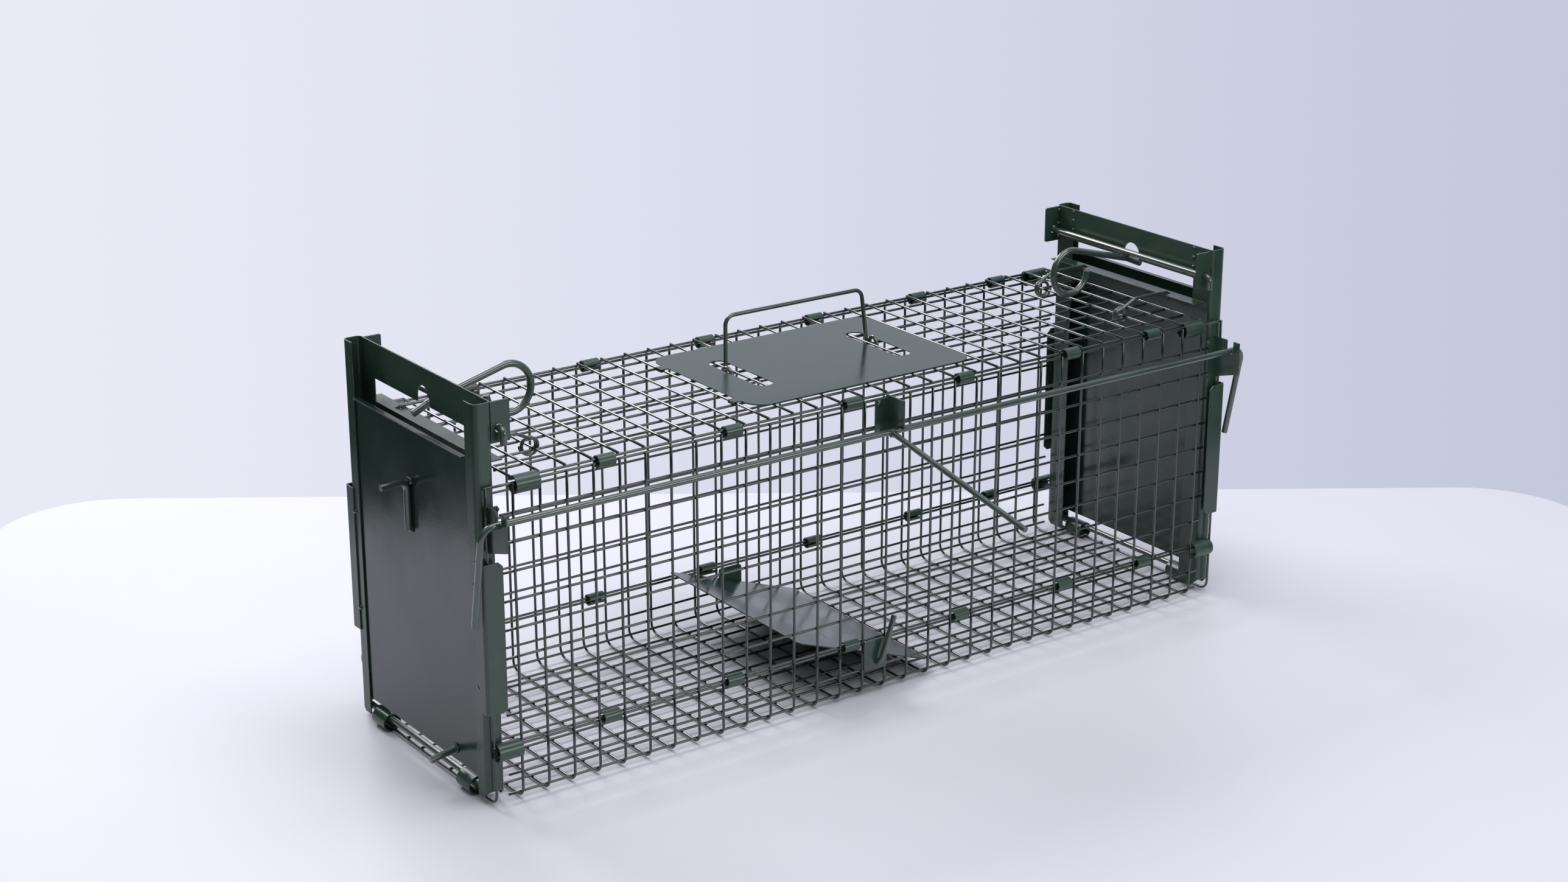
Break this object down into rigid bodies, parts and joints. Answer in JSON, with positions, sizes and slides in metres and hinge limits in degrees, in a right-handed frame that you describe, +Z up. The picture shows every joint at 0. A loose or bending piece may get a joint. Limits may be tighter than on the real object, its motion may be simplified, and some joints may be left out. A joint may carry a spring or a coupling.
{
  "type": "live catch trap",
  "caption": "Folding wire cage trap with sliding doors at both ends, gravity latches, a floor treadle, a release rod with a trigger arm, and a carrying handle on a roof plate.",
  "frame": {"origin": "on the ground under the middle of the cage, midway between the two doors and the two side walls", "axes": "+X along the cage to its right end, +Y to the back, +Z up"},
  "size_m": [0.8752, 0.442, 0.352],
  "materials": {
    "mesh_wire": "semi-gloss dark green powder coat",
    "formed_sheet": "semi-gloss dark green powder coat",
    "flat_sheet": "glossy dark green coat on flat sheet",
    "bent_rod": "semi-gloss dark green coat on round rod"
  },
  "bodies": {
    "cage": {"floor_tray": "mesh_wire", "front_wall": "mesh_wire", "back_wall": "mesh_wire", "roof_mesh": "mesh_wire", "front_top_clips": "formed_sheet", "front_low_clips": "formed_sheet", "back_top_clips": "formed_sheet", "back_low_clips": "formed_sheet", "top_corner_barrels": "formed_sheet", "low_corner_barrels": "formed_sheet", "centre_rod_bracket": "formed_sheet", "treadle_front_bearing": "formed_sheet", "treadle_back_bearing": "formed_sheet", "carrying_plate": "flat_sheet", "left_end_frame": "formed_sheet", "left_sill_rod": "bent_rod", "left_sill_sleeves": "formed_sheet", "left_front_keeper": "formed_sheet", "left_back_keeper": "formed_sheet", "left_front_ear": "formed_sheet", "left_back_ear": "formed_sheet", "left_rod_bracket": "formed_sheet", "right_end_frame": "formed_sheet", "right_sill_rod": "bent_rod", "right_sill_sleeves": "formed_sheet", "right_front_keeper": "formed_sheet", "right_back_keeper": "formed_sheet", "right_front_ear": "formed_sheet", "right_back_ear": "formed_sheet", "right_rod_bracket": "formed_sheet"},
    "left_door_body": {"left_door": "flat_sheet", "left_door_pin": "bent_rod", "left_door_peg": "bent_rod"},
    "left_latch_body": {"left_latch_rod": "bent_rod", "left_latch_loop": "bent_rod"},
    "right_door_body": {"right_door": "flat_sheet", "right_door_pin": "bent_rod", "right_door_peg": "bent_rod"},
    "right_latch_body": {"right_latch_rod": "bent_rod", "right_latch_loop": "bent_rod"},
    "release_gear": {"release_rod": "bent_rod", "trigger_arm": "bent_rod"},
    "treadle": {"treadle_plate": "flat_sheet", "treadle_shaft": "bent_rod"},
    "handle": {"carry_handle": "bent_rod"},
    "left_front_hook_body": {"left_front_hook": "bent_rod"},
    "left_back_hook_body": {"left_back_hook": "bent_rod"},
    "right_front_hook_body": {"right_front_hook": "bent_rod"},
    "right_back_hook_body": {"right_back_hook": "bent_rod"}
  },
  "joints": [
    {"name": "left_door_slide", "type": "slide", "parent": "cage", "child": "left_door_body", "axis": [0, 0, 1], "range_m": [0, 0.247]},
    {"name": "left_latch_swing", "type": "hinge", "parent": "cage", "child": "left_latch_body", "pos_m": [-0.3875, 0, 0.328], "axis": [0, -1, 0], "range_deg": [0, 45]},
    {"name": "right_door_slide", "type": "slide", "parent": "cage", "child": "right_door_body", "axis": [0, 0, 1], "range_m": [0, 0.247]},
    {"name": "right_latch_swing", "type": "hinge", "parent": "cage", "child": "right_latch_body", "pos_m": [0.3875, 0, 0.328], "axis": [0, 1, 0], "range_deg": [0, 45]},
    {"name": "release_turn", "type": "hinge", "parent": "cage", "child": "release_gear", "pos_m": [0, -0.134, 0.256], "axis": [1, 0, 0], "range_deg": [-20, 83.5]},
    {"name": "treadle_tip", "type": "hinge", "parent": "cage", "child": "treadle", "pos_m": [-0.011, 0, 0.0324], "axis": [0, -1, 0], "range_deg": [0, 21]},
    {"name": "handle_fold", "type": "hinge", "parent": "cage", "child": "handle", "pos_m": [0, 0.0127, 0.28388], "axis": [1, 0, 0], "range_deg": [-15, 75]},
    {"name": "left_front_hook_swing", "type": "hinge", "parent": "cage", "child": "left_front_hook_body", "pos_m": [-0.3302, -0.06, 0.2863], "axis": [0, 1, 0], "range_deg": [0, 120]},
    {"name": "left_back_hook_swing", "type": "hinge", "parent": "cage", "child": "left_back_hook_body", "pos_m": [-0.3302, 0.06, 0.2863], "axis": [0, 1, 0], "range_deg": [0, 120]},
    {"name": "right_front_hook_swing", "type": "hinge", "parent": "cage", "child": "right_front_hook_body", "pos_m": [0.3302, -0.06, 0.2863], "axis": [0, -1, 0], "range_deg": [0, 120]},
    {"name": "right_back_hook_swing", "type": "hinge", "parent": "cage", "child": "right_back_hook_body", "pos_m": [0.3302, 0.06, 0.2863], "axis": [0, -1, 0], "range_deg": [0, 120]}
  ]
}
